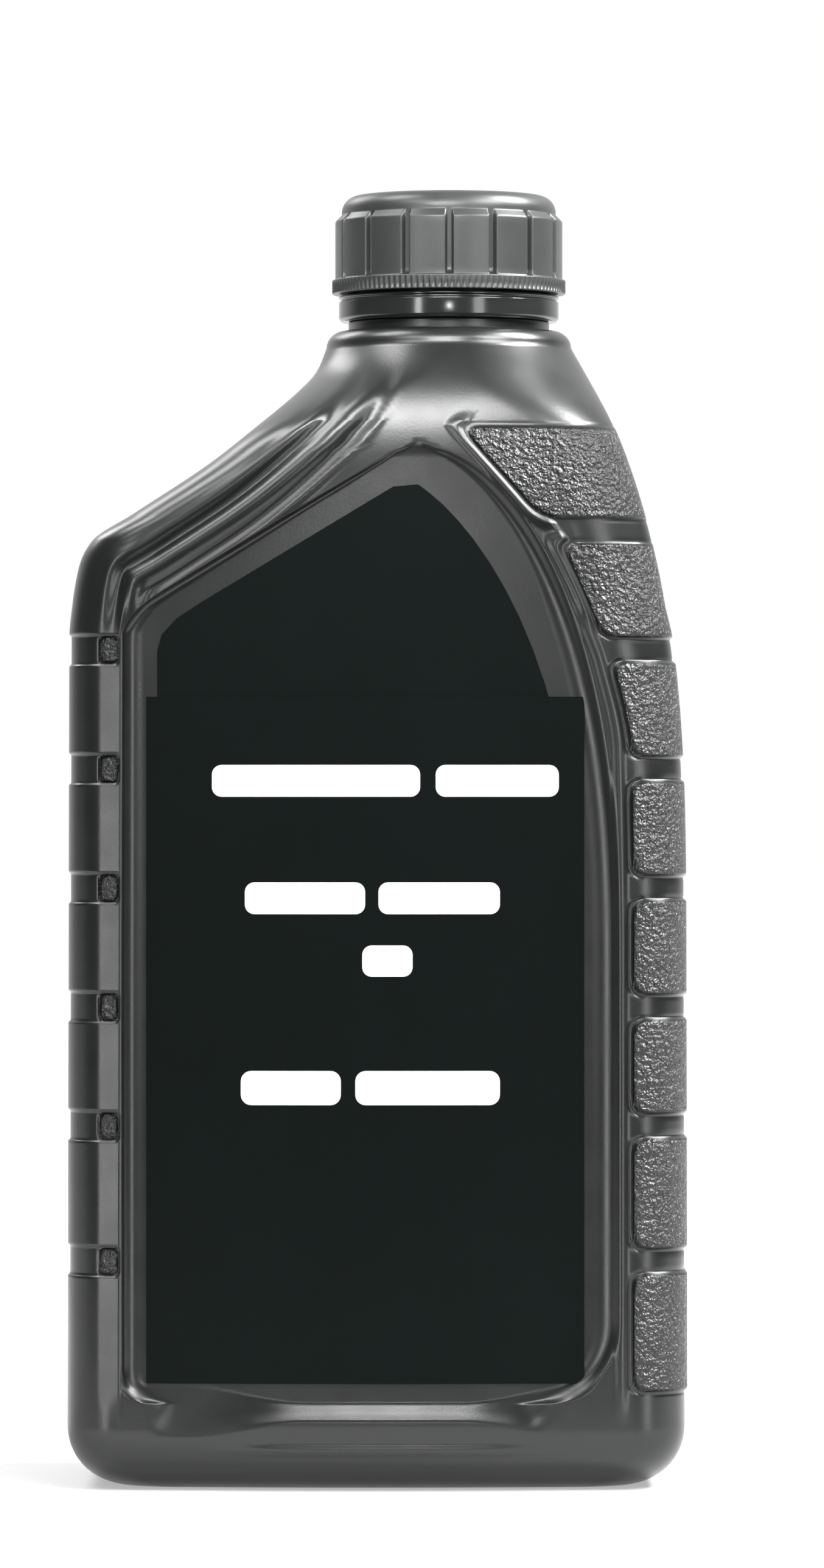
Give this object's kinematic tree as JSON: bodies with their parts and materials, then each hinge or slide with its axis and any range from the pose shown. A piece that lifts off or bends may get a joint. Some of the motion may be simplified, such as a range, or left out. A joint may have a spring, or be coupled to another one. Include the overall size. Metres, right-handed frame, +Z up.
{
  "type": "oil bottle",
  "caption": "One-litre blown oil bottle with an off-centre neck, sunk label panel, side grip pads, ribbed screw cap and tamper band.",
  "frame": {"origin": "middle of the body's foot, on the surface it stands on", "axes": "+Z up along the bottle, -Y towards the labelled front, +X towards the side with the grip pads and the neck"},
  "size_m": [0.108, 0.0664, 0.2262],
  "materials": {
    "black_polyethylene": "satin",
    "cap_plastic": "satin",
    "band_plastic": "gloss",
    "liner_foam": "matte",
    "label_film": "matte"
  },
  "bodies": {
    "bottle": {"bottle_body": "black_polyethylene", "tamper_band": "band_plastic", "front_label": "label_film", "front_sticker": "label_film"},
    "liner": {"cap_liner": "liner_foam"},
    "cap": {"screw_cap": "cap_plastic"}
  },
  "joints": [
    {"name": "cap_lift", "type": "slide", "parent": "bottle", "child": "liner", "axis": [0, 0, 1], "range_m": [0, 0.024]},
    {"name": "cap_turn", "type": "hinge", "parent": "liner", "child": "cap", "pos_m": [0.0125, 0, 0.21], "axis": [0, 0, 1], "range_deg": [0, 1440.5]}
  ],
  "couplings": [
    {"joint": "cap_turn", "follows": "cap_lift", "rad_per_m": 1047.2}
  ]
}
